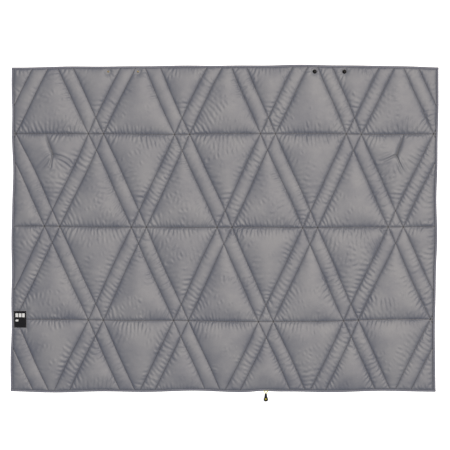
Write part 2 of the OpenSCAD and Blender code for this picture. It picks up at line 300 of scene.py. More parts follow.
class Shell:
    """One shell of the quilt as a sheet of points joined by threads that resist stretching and folding.

    The sheet is cut a little larger than the ground it covers, so it puckers along its seams as the batting
    pushes it out. up is 1 for the top shell, and -1 for the one below, which the ground holds flat.
    """

    def __init__(self, cells, up, seed, depth, slack):
        rng = np.random.default_rng(seed)
        self.up = up
        self.lattice = lattice = Lattice(cells)
        self.creased = creased_points(lattice)
        x, y = warp(lattice.x, lattice.y)
        self.seam = seam_height(lattice.x, lattice.y) - (PINCH if up < 0 else 0)
        self.points = np.stack([x, y, self.seam]).astype(FLOAT)
        self.free = np.where(held_points(lattice, self.creased), 0, 1).astype(FLOAT)
        self.points[2] += (rng.normal(size=x.shape) * RIPPLE * MM * self.free).astype(FLOAT)
        self.speed = np.zeros_like(self.points)
        grown = rounded_off(1 - np.exp(-seam_distance(lattice.x, lattice.y) / LOFT_REACH), self.creased)
        self.full = (self.seam + up * depth * (SEAM_LOFT + ADDED_LOFT * grown)).astype(FLOAT)
        self.room = FLOAT(depth)
        gathered = ROW_SHARE * np.exp(-row_distance(lattice.y) / GATHER_REACH)
        gathered += ANY_SHARE * np.exp(-seam_distance(lattice.x, lattice.y) / GATHER_REACH)
        for name in TUFTS:
            gathered += np.exp(-away(lattice, middle(name)) / TUFT_REACH)
        uneven = 1 + UNEVEN * noise_field(rng, 45 * MM / lattice.step, x.shape)
        patchy = PATCHY_SLACK * noise_field(rng, 3, x.shape)
        self.slack = ((slack + GATHER * gathered) * uneven + patchy).astype(FLOAT)
        self.links = self._links()
        self.lines = self._lines()

    def _links(self):
        """The mesh's edges, each with its cut length and weights, in six sets that use no point twice."""
        rows, cols = self.lattice.shape
        whole = slice(None)
        pairs = [((whole, slice(0, cols - 1, 2)), (whole, slice(1, cols, 2))),
                 ((whole, slice(1, cols - 1, 2)), (whole, slice(2, cols, 2)))]
        for odd in (0, 1):
            first = 0 if self.lattice.odd[0] == odd else 1
            count = len(range(first, rows - 1, 2))
            low = slice(first, first + 2 * count, 2)
            high = slice(first + 1, first + 1 + 2 * count, 2)
            pairs.append(((low, whole), (high, whole)))
            if odd:
                pairs.append(((low, slice(0, cols - 1)), (high, slice(1, cols))))
            else:
                pairs.append(((low, slice(1, cols)), (high, slice(0, cols - 1))))
        links = []
        flat = self.points[:2]
        for a, b in pairs:
            run = flat[at(b)] - flat[at(a)]
            across = 1 + self.slack[a] * 1.2
            along = 1 + self.slack[a] * 0.85
            cut = np.sqrt((run[0] * across) ** 2 + (run[1] * along) ** 2)
            total = np.maximum(self.free[a] + self.free[b], 1)
            links.append((at(a), at(b), cut.astype(FLOAT), self.free[a] / total, self.free[b] / total))
        return links

    def _lines(self):
        """Every three neighbours in line, as three sets of points."""
        rows, cols = self.lattice.shape
        whole = slice(None)
        left, mid, right = slice(0, cols - 2), slice(1, cols - 1), slice(2, cols)
        near_side, far_side = slice(0, cols - 1), slice(1, cols)
        lines = [((whole, left), (whole, mid), (whole, right))]
        for odd in (0, 1):
            first = 0 if self.lattice.odd[0] == odd else 1
            count = len(range(first, rows - 2, 2))
            r0, r1, r2 = (slice(first + i, first + i + 2 * count, 2) for i in range(3))
            between = far_side if odd else near_side
            lines.append(((r0, near_side), (r1, between), (r2, far_side)))
            lines.append(((r0, far_side), (r1, between), (r2, near_side)))
        return lines

    def hold_lengths(self):
        points = self.points
        for a, b, cut, share_a, share_b in self.links:
            run = points[b] - points[a]
            length = np.sqrt(run[0] * run[0] + run[1] * run[1] + run[2] * run[2]) + FLOAT(1e-9)
            pull = (length - cut) / length
            points[a] += run * (pull * share_a)
            points[b] -= run * (pull * share_b)

    def unfold(self, stiffness):
        points, free = self.points, self.free
        for a, b, c in self.lines:
            bend = (points[at(a)] - 2 * points[at(b)] + points[at(c)]) * FLOAT(stiffness)
            points[at(b)] += bend * (0.5 * free[b])
            points[at(a)] -= bend * (0.25 * free[a])
            points[at(c)] -= bend * (0.25 * free[c])

    def normals(self):
        points = self.points
        across, along = np.zeros_like(points), np.zeros_like(points)
        across[:, :, 1:-1] = points[:, :, 2:] - points[:, :, :-2]
        across[:, :, 0], across[:, :, -1] = across[:, :, 1], across[:, :, -2]
        along[:, 1:-1] = points[:, 2:] - points[:, :-2]
        along[:, 0], along[:, -1] = along[:, 1], along[:, -2]
        normal = np.cross(across, along, axis=0)
        return (self.up * normal / (np.sqrt((normal ** 2).sum(0)) + 1e-12)).astype(FLOAT)

    def settle(self, steps, press, stiffness, drag=0.97):
        groove = np.minimum(GROOVE, (self.full - self.seam) * self.up * 0.7)
        seam = (self.seam + self.up * groove * self.free).astype(FLOAT)
        for step in range(steps):
            if step % 6 == 0:
                normal = self.normals()
            depth_left = self.up * (self.full - self.points[2]) / self.room
            push = np.clip(depth_left, -0.3, 1) * FLOAT(press)
            self.speed += normal * (push * self.free)
            self.speed *= FLOAT(drag)
            before = self.points.copy()
            self.points += self.speed * self.free
            self.hold_lengths()
            self.unfold(stiffness)
            if self.up > 0:
                np.maximum(self.points[2], seam, out=self.points[2])
            else:
                np.clip(self.points[2], FLOAT(0.4 * MM), seam, out=self.points[2])
            self.speed = self.points - before


def settled_shell(*measures):
    shell = Shell(*measures)
    steps = 560
    shell.settle(steps, press=0.00004, stiffness=0.008)
    return shell


top_cloth = settled_shell(FINE, 1, 3, TOP_LOFT, BASE_SLACK)
under_cloth = settled_shell(COARSE, -1, 8, UNDER_LOFT, UNDER_SLACK)

# ---------------------------------------------------------------- materials


class Shading:
    """A Principled material and short ways to add nodes to it."""

    def __init__(self, name, color, **sockets):
        self.material = bpy.data.materials.new(name)
        self.material.use_nodes = True
        self.tree = self.material.node_tree
        self.shader = self.tree.nodes["Principled BSDF"]
        self.shader.inputs["Base Color"].default_value = (*color, 1)
        for socket, value in sockets.items():
            self.shader.inputs[socket.replace("_", " ")].default_value = value

    def node(self, kind, **settings):
        made = self.tree.nodes.new("ShaderNode" + kind)
        for key, value in settings.items():
            if key in made.inputs:
                made.inputs[key].default_value = value
            else:
                setattr(made, key, value)
        return made

    def link(self, out, into):
        self.tree.links.new(out, into)

    def coordinates(self, source="Object"):
        if source == "sheet":
            return self.node("UVMap", uv_map="sheet").outputs["UV"]
        return self.node("TexCoord").outputs[source]

    def noise(self, vector, scale, detail=2.0, roughness=0.5):
        made = self.node("TexNoise", Scale=scale, Detail=detail, Roughness=roughness)
        self.link(vector, made.inputs["Vector"])
        return made.outputs["Fac"]

    def math(self, operation, a, b=None, clamp=False):
        made = self.node("Math", operation=operation, use_clamp=clamp)
        for socket, value in zip(made.inputs, (a, b)):
            if value is None:
                continue
            if isinstance(value, (int, float)):
                socket.default_value = value
            else:
                self.link(value, socket)
        return made.outputs[0]

    def tint(self, factor, dark, light):
        """Base colour between two colours, by a factor."""
        made = self.node("Mix", data_type="RGBA")
        self.link(factor, made.inputs["Factor"])
        made.inputs["A"].default_value = (*dark, 1)
        made.inputs["B"].default_value = (*light, 1)
        self.link(made.outputs["Result"], self.shader.inputs["Base Color"])

    def mottle_and_paint_seam_shade(self, cast, shade, color):
        """Base colour between a dim cool and a warm cast of a colour, and darker as shade falls from 1 to 0:
        painted shade at the seams.
        """
        drift = self.node("Mix", data_type="RGBA")
        spread = self.node("MapRange")
        spread.inputs["From Min"].default_value = 0.2
        spread.inputs["From Max"].default_value = 0.6
        self.link(cast, spread.inputs["Value"])
        self.link(spread.outputs["Result"], drift.inputs["Factor"])
        # the dim cool cast doubles as painted shade beside the seams
        cool, warm = (0.55, 0.58, 0.65), (0.935, 0.945, 0.925)
        drift.inputs["A"].default_value = (*(c * k for c, k in zip(color, cool)), 1)
        drift.inputs["B"].default_value = (*(c * k for c, k in zip(color, warm)), 1)
        made = self.node("Mix", data_type="RGBA")
        self.link(shade, made.inputs["Factor"])
        # painted shade: the very dark colour that seam points take, as the shade in their grooves
        made.inputs["A"].default_value = (*lighter(color, 0.12), 1)
        self.link(drift.outputs["Result"], made.inputs["B"])
        self.link(made.outputs["Result"], self.shader.inputs["Base Color"])

    def bump(self, height, distance, strength=1.0):
        made = self.node("Bump", Distance=distance, Strength=strength)
        self.link(height, made.inputs["Height"])
        self.link(made.outputs["Normal"], self.shader.inputs["Normal"])

    def threads(self, vector, pitch_x, pitch_y):
        """Plain weave: rows of threads that pass over and under each other."""
        split = self.node("SeparateXYZ")
        self.link(vector, split.inputs[0])
        across = self.math("MULTIPLY", split.outputs["X"], 2 * math.pi / pitch_x)
        along = self.math("MULTIPLY", split.outputs["Y"], 2 * math.pi / pitch_y)
        return self.math("MULTIPLY", self.math("SINE", across), self.math("SINE", along))


def lighter(color, k):
    return tuple(min(1.0, c * k) for c in color)


def nylon(name, color):
    """Calendered ripstop nylon: satin, with a fine weave and a grid of thicker threads."""
    s = Shading(name, color, Roughness=0.5, Specular_IOR_Level=0.6)
    sheet = s.coordinates("sheet")
    # painted shade: this attribute is 1 on seam, binding and tuft crease points, whose colour is darkened as
    # the shade in the grooves there
    crease = s.node("Attribute", attribute_name="crease").outputs["Fac"]
    clear_of_painted_seam_shade = s.math("SUBTRACT", 1.0, s.math("POWER", crease, 2.5))
    # painted shade: near seams the cloth leans to its dim cool cast, as the shade on the slopes beside them
    painted_seam_shade_falloff = s.node("Attribute", attribute_name="painted_seam_shade_falloff").outputs["Fac"]
    cast = s.math("ADD", s.noise(sheet, 7.0, 6.0, 0.62), s.math("MULTIPLY", painted_seam_shade_falloff, -0.3))
    s.mottle_and_paint_seam_shade(cast, clear_of_painted_seam_shade, color)
    weave = s.threads(sheet, 0.7 * MM, 0.7 * MM)
    split = s.node("SeparateXYZ")
    s.link(sheet, split.inputs[0])
    grid = []
    for axis in "XY":
        wave = s.math("SINE", s.math("MULTIPLY", split.outputs[axis], 2 * math.pi / (5 * MM)))
        grid.append(s.math("POWER", s.math("ABSOLUTE", wave), 24))
    ribs = s.math("MAXIMUM", grid[0], grid[1])
    fine = s.noise(sheet, 160.0, 3.0, 0.6)
    height = s.math("ADD", s.math("MULTIPLY", weave, 0.25), s.math("MULTIPLY", ribs, 0.6))
    s.bump(s.math("ADD", height, s.math("MULTIPLY", fine, 1.2)), 0.12 * MM, 0.5)
    return s.material


def yarn(name, color, pitch):
    """Spun thread or braid: fine slanted ridges along the object."""
    s = Shading(name, color, Roughness=0.75, Sheen_Weight=0.3, Sheen_Roughness=0.5)
    place = s.coordinates()
    s.tint(s.noise(place, 900.0, 2.0), lighter(color, 0.75), lighter(color, 1.25))
    wave = s.node("TexWave", Scale=1 / pitch, Distortion=1.0)
    wave.bands_direction = "DIAGONAL"
    s.link(place, wave.inputs["Vector"])
    s.bump(wave.outputs["Fac"], 0.15 * MM, 0.5)
    return s.material


def grosgrain(name, color):
    """Woven tape with fine ribs across its length."""
    s = Shading(name, color, Roughness=0.62, Sheen_Weight=0.35, Sheen_Roughness=0.4)
    sheet = s.coordinates("sheet")
    s.tint(s.noise(sheet, 60.0, 4.0), lighter(color, 0.88), lighter(color, 1.12))
    s.bump(s.threads(sheet, 1.1 * MM, 0.8 * MM), 0.2 * MM, 0.6)
    return s.material


def label_weave(name, color):
    """Woven label cloth with a plain mark of light blocks, which stands for no name."""
    s = Shading(name, color, Roughness=0.7, Specular_IOR_Level=0.2)
    sheet = s.coordinates("sheet")
    split = s.node("SeparateXYZ")
    s.link(sheet, split.inputs[0])

    def inside(value, low, high):
        return s.math("MULTIPLY", s.math("GREATER_THAN", value, low), s.math("LESS_THAN", value, high))

    x, y = split.outputs["X"], split.outputs["Y"]
    column = s.math("FRACT", s.math("DIVIDE", s.math("SUBTRACT", x, 6 * MM), 13.6 * MM))
    row = s.math("MULTIPLY", inside(y, 44 * MM, 60 * MM), inside(x, 6 * MM, 43.5 * MM))
    blocks = s.math("MULTIPLY", row, inside(column, 0.0, 0.76))
    bar = s.math("MULTIPLY", inside(y, 26 * MM, 34 * MM), inside(x, 6 * MM, 17 * MM))
    mark = s.math("MAXIMUM", blocks, bar)
    s.tint(mark, color, (0.62, 0.62, 0.6))
    weave = s.threads(sheet, 0.9 * MM, 0.7 * MM)
    s.bump(s.math("ADD", weave, s.math("MULTIPLY", mark, 1.5)), 0.15 * MM, 0.6)
    return s.material


def wadding(name, color):
    """Loose fibres: matt and fluffy."""
    s = Shading(name, color, Roughness=0.95, Sheen_Weight=0.5)
    place = s.coordinates()
    fluff = s.noise(place, 220.0, 8.0, 0.7)
    s.tint(fluff, lighter(color, 0.85), color)
    s.bump(fluff, 1.0 * MM, 0.6)
    return s.material


def moulded(name, color, roughness, shine=0.5):
    """Moulded plastic or rubber: an even colour with a fine mould texture."""
    s = Shading(name, color, Roughness=roughness, Specular_IOR_Level=shine)
    place = s.coordinates()
    s.tint(s.noise(place, 45.0, 3.0), lighter(color, 0.85), lighter(color, 1.3))
    s.bump(s.noise(place, 600.0, 3.0), 0.05 * MM, 0.35)
    return s.material


def antique_metal(name, color):
    """Brass with a dark, slightly uneven patina."""
    s = Shading(name, color, Roughness=0.35, Metallic=1.0)
    place = s.coordinates()
    s.tint(s.noise(place, 300.0, 4.0), lighter(color, 0.6), lighter(color, 1.5))
    s.bump(s.noise(place, 900.0, 2.0), 0.03 * MM, 0.4)
    return s.material


SHELL_COLOR = (0.187, 0.186, 0.200)
UNDER_COLOR = (0.12, 0.12, 0.135)
WADDING_COLOR = (0.86, 0.86, 0.84)
QUILTING_COLOR = (0.022, 0.022, 0.028)
TAPE_COLOR = (0.15, 0.153, 0.182)
TAPE_STITCH_COLOR = (0.02, 0.02, 0.026)
CAP_COLOR = (0.002, 0.002, 0.0025)
RING_COLOR = (0.03, 0.03, 0.033)
BRONZE = (0.16, 0.13, 0.075)
LABEL_COLOR = (0.004, 0.004, 0.005)
YELLOW = (0.62, 0.56, 0.055)
RUBBER_COLOR = (0.005, 0.005, 0.006)

MATERIALS = {
    "shell_fabric": nylon("shell_nylon", SHELL_COLOR),
    "underside_fabric": nylon("underside_nylon", UNDER_COLOR),
    "batting": wadding("wadding", WADDING_COLOR),
    "quilting_thread": yarn("quilting_yarn", QUILTING_COLOR, 0.5 * MM),
    "binding_tape": grosgrain("binding_grosgrain", TAPE_COLOR),
    "binding_thread": yarn("binding_yarn", TAPE_STITCH_COLOR, 0.5 * MM),
    "snap_cap": moulded("snap_cap_lacquer", CAP_COLOR, 0.2, 0.05),
    "snap_ring": moulded("snap_ring_lacquer", RING_COLOR, 0.4),
    "snap_stud": antique_metal("snap_antique_bronze", BRONZE),
    "label_fabric": label_weave("label_weave", LABEL_COLOR),
    "cord": yarn("cord_braid", YELLOW, 1.2 * MM),
    "cord_end": moulded("cord_end_rubber", RUBBER_COLOR, 0.5, 0.15),
}

# ---------------------------------------------------------------- mesh helpers


def mesh_piece(name, points, faces, slot):
    """A named piece from points in metres and faces that all have the same number of corners."""
    mesh = bpy.data.meshes.new(name)
    points = np.asarray(points, dtype=FLOAT).reshape(-1, 3)
    faces = np.asarray(faces)
    mesh.vertices.add(len(points))
    mesh.vertices.foreach_set("co", points.ravel())
    sides = faces.shape[1]
    mesh.loops.add(faces.size)
    mesh.loops.foreach_set("vertex_index", faces.astype(np.int32).ravel())
    mesh.polygons.add(len(faces))
    mesh.polygons.foreach_set("loop_start", np.arange(0, faces.size, sides, dtype=np.int32))
    mesh.polygons.foreach_set("use_smooth", np.full(len(faces), True))
    mesh.update(calc_edges=True)
    mesh.validate()
    made = bpy.data.objects.new(name, mesh)
    bpy.context.collection.objects.link(made)
    mesh.materials.append(MATERIALS[slot])
    return made


def add_sheet_uv(piece, uv):
    """Texture coordinates in metres along the cloth as it was cut."""
    layer = piece.data.uv_layers.new(name="sheet")
    index = np.empty(len(piece.data.loops), dtype=np.int32)
    piece.data.loops.foreach_get("vertex_index", index)
    layer.data.foreach_set("uv", np.asarray(uv, dtype=FLOAT)[index].ravel())


def across_fold(piece):
    """Bakes a piece's transform into its mesh."""
    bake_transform(piece)


def both_halves(stem):
    return [stem + "_upper", stem + "_lower"]


def joined(parts):
    """Several sets of points and faces as one."""
    points, faces, start = [], [], 0
    for p, f in parts:
        points.append(p)
        faces.append(f + start)
        start += len(p)
    return np.concatenate(points), np.concatenate(faces)


def slab_faces(rows, cols):
    """Faces of a slab: a grid of points on top, the same grid below, and a wall round the rim."""
    index = np.arange(rows * cols).reshape(rows, cols)
    quads = np.stack([index[:-1, :-1], index[:-1, 1:], index[1:, 1:], index[1:, :-1]], -1).reshape(-1, 4)
    rim = np.concatenate([index[0, :-1], index[:-1, -1], index[-1, :0:-1], index[:0:-1, 0]])
    after = np.roll(rim, -1)
    below = rows * cols
    wall = np.stack([rim, rim + below, after + below, after], -1)
    return np.concatenate([quads, quads[:, ::-1] + below, wall])


def ring_quads(index):
    """Faces between closed rings of points, from the points' numbers."""
    turned = np.roll(index, -1, 1)
    return np.stack([index[:-1], turned[:-1], turned[1:], index[1:]], -1).reshape(-1, 4)


def spindle_faces(rings, sides):
    """Triangles of a body of rings that is closed by a point at each end; those two points come last."""
    index = np.arange(rings * sides).reshape(rings, sides)
    turned = np.roll(index, -1, 1)
    quads = ring_quads(index)
    start_cap = np.stack([np.full(sides, rings * sides), turned[0], index[0]], -1)
    end_cap = np.stack([np.full(sides, rings * sides + 1), index[-1], turned[-1]], -1)
    return np.concatenate([quads[:, [0, 1, 2]], quads[:, [0, 2, 3]], start_cap, end_cap])


# ---------------------------------------------------------------- shells and batting


def shell_piece(name, cloth, slot, nodes):
    lattice = cloth.lattice
    faces = lattice.triangles()
    piece = mesh_piece(name, np.stack(cloth.points, -1), faces if cloth.up > 0 else faces[:, ::-1], slot)
    add_sheet_uv(piece, np.stack([lattice.x.ravel(), lattice.y.ravel()], -1) * CUT)
    # painted shade: marks the points that the nylon colours dark, as the shade in the seams' grooves
    crease = piece.data.attributes.new("crease", "FLOAT", "POINT")
    crease.data.foreach_set("value", cloth.creased.astype(FLOAT).ravel())
    # painted shade: nearness to a seam, by which the nylon dims and cools, as the shade beside seams
    painted_seam_shade_falloff = piece.data.attributes.new("painted_seam_shade_falloff", "FLOAT", "POINT")
    near = np.exp(-seam_distance(lattice.x, lattice.y) / PAINTED_SHADE_REACH)
    painted_seam_shade_falloff.data.foreach_set("value", near.astype(FLOAT).ravel())
    across_fold(piece)
    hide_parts(*nodes)


BATT_GAP = 0.35 * MM                      # between the batt and each shell


def batting_piece():
    """The batt, just inside both shells, on a coarser grid of points."""
    def lowest(z, reach):
        padded = np.pad(z, reach, mode="edge")
        rows, cols = z.shape
        spots = range(2 * reach + 1)
        around = [padded[i:i + rows, j:j + cols] for i in spots for j in spots]
        return np.min(around, axis=0)

    lattice = top_cloth.lattice
    # Every second row, counted from the middle seam, as the shell below has
    rows_kept = slice(2 + int(lattice.row[0]) % 2, -2, 2)
    inner = (rows_kept, slice(3, -3, 3))
    top = lowest(top_cloth.points[2], 3) - BATT_GAP
    near_under = under_cloth.lattice.nearest(lattice.x, lattice.y)
    under = -lowest(-under_cloth.points[2], 3)[near_under] + BATT_GAP
    between = (top + under) / 2
    top = np.maximum(top, between + 0.05 * MM)
    under = np.minimum(under, between - 0.05 * MM)
    x, y = top_cloth.points[0][inner], top_cloth.points[1][inner]
    upper = np.stack([x, y, top[inner]], -1)
    lower = np.stack([x, y, under[inner]], -1)
    points = np.concatenate([upper.reshape(-1, 3), lower.reshape(-1, 3)])
    piece = mesh_piece("batting", points, slab_faces(*x.shape), "batting")
    across_fold(piece)
    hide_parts("insulation_upper", "insulation_lower")


batting_piece()
shell_piece("top_shell", top_cloth, "shell_fabric", both_halves("top_shell"))
shell_piece("bottom_shell", under_cloth, "underside_fabric", both_halves("bottom_shell"))

# ---------------------------------------------------------------- stitching


def stitch_mesh(starts, ends, lift, radius):
    """One small thread loop for each stitch: fat in the middle, diving into the cloth at both ends."""
    sides = 5
    run = ends - starts
    length = np.sqrt((run ** 2).sum(1))[:, None]
    along = run / length
    up = np.repeat([[0.0, 0.0, float(np.sign(lift))]], len(starts), 0)
    side = np.cross(along, up)
    side /= np.sqrt((side ** 2).sum(1))[:, None]
    up = np.cross(side, along)
    points = [starts + along * length * 0.02 - up * radius * 0.6]
    for t in (0.2, 0.8):
        centre = starts + run * t + up * abs(lift)
        for i in range(sides):
            a = 2 * math.pi * i / sides
            points.append(centre + side * radius * math.cos(a) + up * radius * math.sin(a))
    points.append(ends - along * length * 0.02 - up * radius * 0.6)
    count = 2 * sides + 2
    faces = []
    for i in range(sides):
        j = (i + 1) % sides
        a, b, c, d = 1 + i, 1 + j, 1 + sides + j, 1 + sides + i
        faces += [(0, b, a), (a, b, c), (a, c, d), (d, c, count - 1)]
    all_points = np.stack(points, 1).reshape(-1, 3)
    offsets = np.arange(len(starts))[:, None, None] * count
    all_faces = (np.array(faces)[None] + offsets).reshape(-1, 3)
    return all_points, all_faces


def stepped(ends, pitch):
    """Evenly spaced points from (ax, ay) to (bx, by), about a pitch apart."""
    ax, ay, bx, by = ends
    count = max(1, round(math.hypot(bx - ax, by - ay) / pitch))
    t = np.arange(count + 1) / count
    return ax + (bx - ax) * t, ay + (by - ay) * t


def seam_points(x, y, up):
    """Points of the laid-out blanket on a seam, on the top side or, with up of -1, on the underside."""
    z = seam_height(x, y) - (PINCH if up < 0 else 0)
    wx, wy = warp(x, y)
    return np.stack([wx, wy, z], -1)


def stitches_along(x0, y0, x1, y1, pitch=4 * MM, radius=0.65 * MM):
    """Stitches on both sides of the quilt along straight seams of the squared-up sheet."""
    made = []
    for ends in zip(x0, y0, x1, y1):
        for up in (1, -1):
            line = seam_points(*stepped(ends, pitch), up)
            made.append(stitch_mesh(line[:-1], line[1:], up * 0.25 * MM, radius))
    return joined(made)


def slanted_seams(lean):
    """The ends of every slanted seam inside the binding."""
    slope = lean * 2 * ROW_PITCH / CROSSING_PITCH
    low_y, high_y = BOTTOM_Y + BIND_W, TOP_Y - BIND_W
    side = HALF_W - BIND_W
    ends = []
    reach = math.ceil(WIDTH / CROSSING_PITCH)
    for i in range(-reach, reach + 1):
        for half in (-1, 1):
            x_mid = i * CROSSING_PITCH + half * PAIR_GAP / 2
            xs = sorted([x_mid + (low_y - MIDDLE_Y) / slope, x_mid + (high_y - MIDDLE_Y) / slope])
            xs = np.clip(xs, -side, side)
            if xs[1] - xs[0] > 5 * MM:
                ys = MIDDLE_Y + (xs - x_mid) * slope
                ends.append((xs[0], ys[0], xs[1], ys[1]))
    return np.array(ends).T


def stitching_piece(name, ends):
    piece = mesh_piece(name, *stitches_along(*ends), "quilting_thread")
    across_fold(piece)
    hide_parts(*both_halves(name))


def row_seams():
    """The ends of the three horizontal seams."""
    side = HALF_W - BIND_W
    ys = MIDDLE_Y + ROW_PITCH * np.arange(-1, 2)
    return np.full(3, -side), ys, np.full(3, side), ys


stitching_piece("row_stitching", row_seams())
stitching_piece("rising_stitching", slanted_seams(1))
stitching_piece("falling_stitching", slanted_seams(-1))

# ---------------------------------------------------------------- edge binding


def tape_profile():
    """The folded tape across its width, as distances in from the edge and heights, with its own thickness."""
    thick = 0.7 * MM
    outer = [(BIND_W, EDGE_T + 0.1 * MM), (BIND_W * 0.75, EDGE_T + 0.5 * MM)]
    outer.append((BIND_W * 0.45, EDGE_T + 0.5 * MM))
    for i in range(7):
        a = math.pi / 2 + math.pi * i / 6
        outer.append((2.6 * MM + 2.6 * MM * math.cos(a), EDGE_T / 2 + (EDGE_T / 2 + 0.3 * MM) * math.sin(a)))
    outer += [(BIND_W * 0.45, 0.05 * MM), (BIND_W * 0.75, 0.02 * MM), (BIND_W, 0.25 * MM)]
    inner = []
    for s, z in reversed(outer):
        pull = thick if z > EDGE_T / 2 else -thick
        inner.append((max(s, thick), z - pull) if s > 2 * thick else (thick * 1.4, z * 0.7 + EDGE_T * 0.15))
    return np.array(outer + inner)


def tape_piece(name, ends, inward, nodes, half=None):
    """A length of binding tape along one edge of the blanket."""
    (ax, ay), (bx, by) = ends
    count = round(math.hypot(bx - ax, by - ay) / (5 * MM))
    t = np.arange(count + 1) / count
    profile = tape_profile()
    rng = np.random.default_rng(len(name))
    ripple = np.convolve(rng.normal(size=count + 7), np.ones(3) / 3, "same")[3:count + 4] * 0.22 * MM
    x, y = ax + (bx - ax) * t, ay + (by - ay) * t
    wx, wy = warp(x, y)
    points = np.empty((count + 1, len(profile), 3))
    for k, (s, z) in enumerate(profile):
        on_top = z > EDGE_T / 2
        points[:, k, 0] = wx + inward[0] * (s + ripple * (s / BIND_W))
        points[:, k, 1] = wy + inward[1] * (s + ripple * (s / BIND_W))
        points[:, k, 2] = np.maximum(z + (ripple if on_top else 0), 0)
    around = len(profile)
    # Both ends are turned in: the inside of the fold closes up there
    for end in (0, count):
        points[end, around // 2:, 2] += (EDGE_T / 2 - points[end, around // 2:, 2]) * 0.95
    index = np.arange((count + 1) * around).reshape(count + 1, around)
    quads = ring_quads(index)
    outside, inside = index[:, :around // 2], index[:, :around // 2 - 1:-1]
    caps = np.stack([outside[:, :-1], outside[:, 1:], inside[:, 1:], inside[:, :-1]], -1)
    quads = np.concatenate([quads, caps[0, :, ::-1], caps[-1]])
    if (bx - ax) * inward[1] - (by - ay) * inward[0] > 0:
        quads = quads[:, ::-1]
    piece = mesh_piece(name, points.reshape(-1, 3), quads, "binding_tape")
    arc = np.concatenate([[0], np.cumsum(np.sqrt((np.diff(profile, axis=0) ** 2).sum(1)))])
    uv = np.stack(np.broadcast_arrays(t[:, None] * math.hypot(bx - ax, by - ay), arc[None, :]), -1)
    add_sheet_uv(piece, uv.reshape(-1, 2))
    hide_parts(*nodes)
    if half:
        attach(piece, half)
    else:
        across_fold(piece)


def edge_stitching(which, half, sign):
    """The line of stitches that sews the tape down, round one half of the blanket."""
    inset = BIND_W - 1.1 * MM
    side = HALF_W - inset
    far = (TOP_Y - inset) if sign > 0 else (BOTTOM_Y + inset)
    near_y = MIDDLE_Y + sign * 0.5 * MM
    runs = [(-side, near_y, -side, far), (-side, far, side, far), (side, far, side, near_y)]
    made = []
    for ends in runs:
        wx, wy = warp(*stepped(ends, 3.4 * MM))
        for up, z in ((1, EDGE_T + 0.5 * MM), (-1, 0.1 * MM)):
            line = np.stack([wx, wy, np.full_like(wx, z)], -1)
            made.append(stitch_mesh(line[:-1], line[1:], up * 0.2 * MM, 0.7 * MM))
    points, faces = joined(made)
    points[:, 2] = np.maximum(points[:, 2], 0.0)
    piece = mesh_piece("tape_stitching_" + which, points, faces, "binding_thread")
    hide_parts("binding_stitching_" + which)
    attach(piece, half)


corner = BIND_W * 0.9
tape_piece("binding_tape_left", [(-HALF_W, BOTTOM_Y + corner), (-HALF_W, TOP_Y - corner)], (1, 0),
           ["binding_left_upper", "binding_left_lower"])
tape_piece("binding_tape_right", [(HALF_W, BOTTOM_Y + corner), (HALF_W, TOP_Y - corner)], (-1, 0),
           ["binding_right_upper", "binding_right_lower"])
tape_piece("binding_tape_top", [(-HALF_W, TOP_Y), (HALF_W, TOP_Y)], (0, -1), ["binding_top"], UPPER)
tape_piece("binding_tape_bottom", [(-HALF_W, BOTTOM_Y), (HALF_W, BOTTOM_Y)], (0, 1), ["binding_bottom"],
           LOWER)
edge_stitching("upper", UPPER, 1)
edge_stitching("lower", LOWER, -1)

# ---------------------------------------------------------------- snaps


def lathe(name, place, profile, slot, sides=56):
    """A piece turned from a profile of radii and heights in millimetres that starts and ends on the axis."""
    rings = np.array(profile[1:-1]) * MM
    angles = 2 * math.pi * np.arange(sides) / sides
    x = rings[:, 0, None] * np.cos(angles)[None]
    y = rings[:, 0, None] * np.sin(angles)[None]
    z = np.repeat(rings[:, 1, None], sides, 1)
    points = np.concatenate([np.stack([x, y, z], -1).reshape(-1, 3),
                             [[0, 0, profile[0][1] * MM], [0, 0, profile[-1][1] * MM]]])
    return mesh_piece(name, points + np.array(place)[None], spindle_faces(len(rings), sides), slot)


def rounded(corners, radius, steps=3):
    """A profile with its inner corners rounded off, by at most a radius."""
    made = [corners[0]]
    for before, corner, after in zip(corners, corners[1:], corners[2:]):
        p, c, n = (np.array(v, dtype=float) for v in (before, corner, after))
        cut = min(radius, 0.45 * np.linalg.norm(p - c), 0.45 * np.linalg.norm(n - c))
        a = c + (p - c) / np.linalg.norm(p - c) * cut
        b = c + (n - c) / np.linalg.norm(n - c) * cut
        for i in range(steps + 1):
            t = i / steps
            made.append(tuple((1 - t) ** 2 * a + 2 * t * (1 - t) * c + t * t * b))
    return made + [corners[-1]]


def on_snap(piece, node):
    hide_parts(node)
    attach(piece, UPPER)


def snap_cap(node):
    """A lacquered cap: a low dome with a rolled rim, and the stem that holds the socket."""
    place = middle(node)
    dome = [(0, 4.6), (1.5, 4.6), (8.2, 4.35), (8.9, 4.75), (8.85, 5.3), (8.0, 5.95), (6.2, 6.5),
            (3.2, 6.88), (0, 7.0)]
    on_snap(lathe(node + "_dome", (place.x, place.y, 1.0 * MM), rounded(dome, 0.5, 4), "snap_cap", 72), node)
    stem = [(0, 2.4), (1.5, 2.4), (1.5, 5.4), (0, 5.4)]
    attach(lathe(node + "_stem", (place.x, place.y, 0), rounded(stem, 0.2), "snap_cap", 32), UPPER)


def snap_socket(node):
    """The ring under the cap, open downwards, with a groove in its bore for the spring."""
    place = middle(node)
    body = [(0, 2.55), (2.8, 2.55), (2.8, 1.9), (3.15, 1.7), (3.15, 1.3), (2.8, 1.1), (2.8, 0.75), (3.3, 0.6),
            (4.6, 0.6), (5.3, 0.9), (5.5, 2.2), (6.1, 2.7), (6.1, 3.2), (5.6, 3.45), (2.0, 3.45), (0, 3.45)]
    on_snap(lathe(node + "_ring", (place.x, place.y, 0), rounded(body, 0.25), "snap_ring", 64), node)


